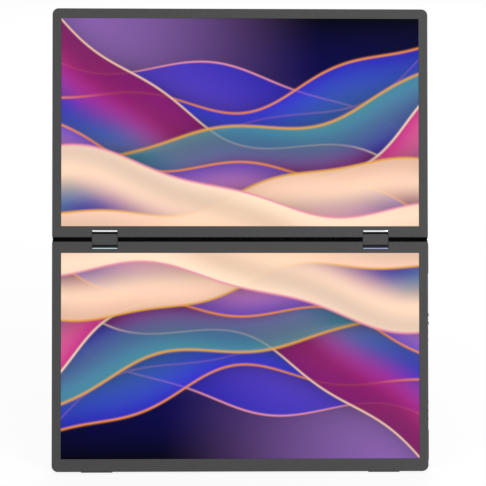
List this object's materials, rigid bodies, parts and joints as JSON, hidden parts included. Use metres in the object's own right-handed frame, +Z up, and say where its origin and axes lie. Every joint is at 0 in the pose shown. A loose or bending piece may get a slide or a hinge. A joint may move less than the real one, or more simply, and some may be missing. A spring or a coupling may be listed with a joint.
{
  "type": "laptop screen extender",
  "caption": "Two stacked flat screens joined by a pair of twin-shaft hinges, folding face to face, with rubber feet and a leaf stand behind the lower one.",
  "frame": {"origin": "middle of the standing object's bounding box, on the table", "axes": "+X to the viewer's right, +Y away from the viewer, +Z up"},
  "size_m": [0.3618, 0.1576, 0.4195],
  "materials": {
    "casing_plastic": "fine matte, dark grey",
    "black_plastic": "satin black",
    "button_plastic": "fine matte, dark grey",
    "speaker_plastic": "matte black",
    "cable_jacket": "matte black",
    "foot_rubber": "matte",
    "screen_glass": "anti-glare, lit from behind",
    "backlight_film": "white light guide",
    "flex_film": "amber film",
    "circuit_board": "solder mask",
    "bright_metal": "polished",
    "hinge_steel": "plain steel",
    "screw_steel": "dark nickel",
    "black_metal": "black",
    "port_steel": "nickel-plated",
    "stand_metal": "grey anodised, finely brushed"
  },
  "bodies": {
    "lower_panel": {"lower_bezel": "casing_plastic", "lower_display": "screen_glass", "lower_backlight": "backlight_film", "lower_display_flex": "flex_film", "lower_driver_board": "circuit_board", "lower_back_cover": "casing_plastic", "lower_edge_roll": "black_plastic", "lower_hinge_wells": "black_plastic", "lower_trims": "bright_metal", "lower_harness": "cable_jacket", "lower_left_bracket": "hinge_steel", "lower_right_bracket": "hinge_steel", "lower_left_shaft": "hinge_steel", "lower_right_shaft": "hinge_steel", "lower_bracket_screws": "screw_steel", "lower_cover_screws": "screw_steel", "main_board": "circuit_board", "usb_c_ports": "port_steel", "mini_hdmi_port": "port_steel", "button_board": "circuit_board", "speakers": "speaker_plastic", "edge_feet": "foot_rubber", "side_pads": "foot_rubber", "stand_brackets": "hinge_steel", "stand_pins": "hinge_steel"},
    "hinge_link": {"left_link_block": "black_metal", "right_link_block": "black_metal", "left_link_front_cover": "casing_plastic", "right_link_front_cover": "casing_plastic", "left_link_back_cover": "casing_plastic", "right_link_back_cover": "casing_plastic", "link_harness": "cable_jacket", "friction_washers": "hinge_steel", "link_screws": "screw_steel", "gap_strips": "black_plastic"},
    "upper_panel": {"upper_bezel": "casing_plastic", "upper_display": "screen_glass", "upper_backlight": "backlight_film", "upper_display_flex": "flex_film", "upper_driver_board": "circuit_board", "upper_back_cover": "casing_plastic", "upper_edge_roll": "black_plastic", "upper_hinge_wells": "black_plastic", "upper_trims": "bright_metal", "upper_harness": "cable_jacket", "upper_left_bracket": "hinge_steel", "upper_right_bracket": "hinge_steel", "upper_left_shaft": "hinge_steel", "upper_right_shaft": "hinge_steel", "upper_bracket_screws": "screw_steel", "upper_cover_screws": "screw_steel"},
    "stand": {"stand_leaf": "stand_metal", "stand_foot_pad": "foot_rubber"},
    "power_button": {"power_button": "button_plastic"},
    "menu_button": {"menu_button": "button_plastic"},
    "first_plus_button": {"first_plus_button": "button_plastic"},
    "first_minus_button": {"first_minus_button": "button_plastic"},
    "input_button": {"input_button": "button_plastic"},
    "second_plus_button": {"second_plus_button": "button_plastic"},
    "second_minus_button": {"second_minus_button": "button_plastic"}
  },
  "joints": [
    {"name": "lower_fold", "type": "hinge", "parent": "lower_panel", "child": "hinge_link", "pos_m": [0, -0.00111, 0.20636], "axis": [1, 0, 0], "range_deg": [-60, 90]},
    {"name": "upper_fold", "type": "hinge", "parent": "hinge_link", "child": "upper_panel", "pos_m": [0, 0.00139, 0.21322], "axis": [1, 0, 0], "range_deg": [-60, 90]},
    {"name": "stand_swing", "type": "hinge", "parent": "lower_panel", "child": "stand", "pos_m": [0, -0.00913, 0.1789], "axis": [1, 0, 0], "range_deg": [-35.36, 19.64]},
    {"name": "power_press", "type": "slide", "parent": "lower_panel", "child": "power_button", "axis": [-1, 0, 0], "range_m": [0, 0.00025], "stiffness_N_per_m": 1500, "springref_m": -0.0001},
    {"name": "menu_press", "type": "slide", "parent": "lower_panel", "child": "menu_button", "axis": [-1, 0, 0], "range_m": [0, 0.00025], "stiffness_N_per_m": 1500, "springref_m": -0.0001},
    {"name": "first_plus_press", "type": "slide", "parent": "lower_panel", "child": "first_plus_button", "axis": [-1, 0, 0], "range_m": [0, 0.00025], "stiffness_N_per_m": 1500, "springref_m": -0.0001},
    {"name": "first_minus_press", "type": "slide", "parent": "lower_panel", "child": "first_minus_button", "axis": [-1, 0, 0], "range_m": [0, 0.00025], "stiffness_N_per_m": 1500, "springref_m": -0.0001},
    {"name": "input_press", "type": "slide", "parent": "lower_panel", "child": "input_button", "axis": [-1, 0, 0], "range_m": [0, 0.00025], "stiffness_N_per_m": 1500, "springref_m": -0.0001},
    {"name": "second_plus_press", "type": "slide", "parent": "lower_panel", "child": "second_plus_button", "axis": [-1, 0, 0], "range_m": [0, 0.00025], "stiffness_N_per_m": 1500, "springref_m": -0.0001},
    {"name": "second_minus_press", "type": "slide", "parent": "lower_panel", "child": "second_minus_button", "axis": [-1, 0, 0], "range_m": [0, 0.00025], "stiffness_N_per_m": 1500, "springref_m": -0.0001}
  ]
}
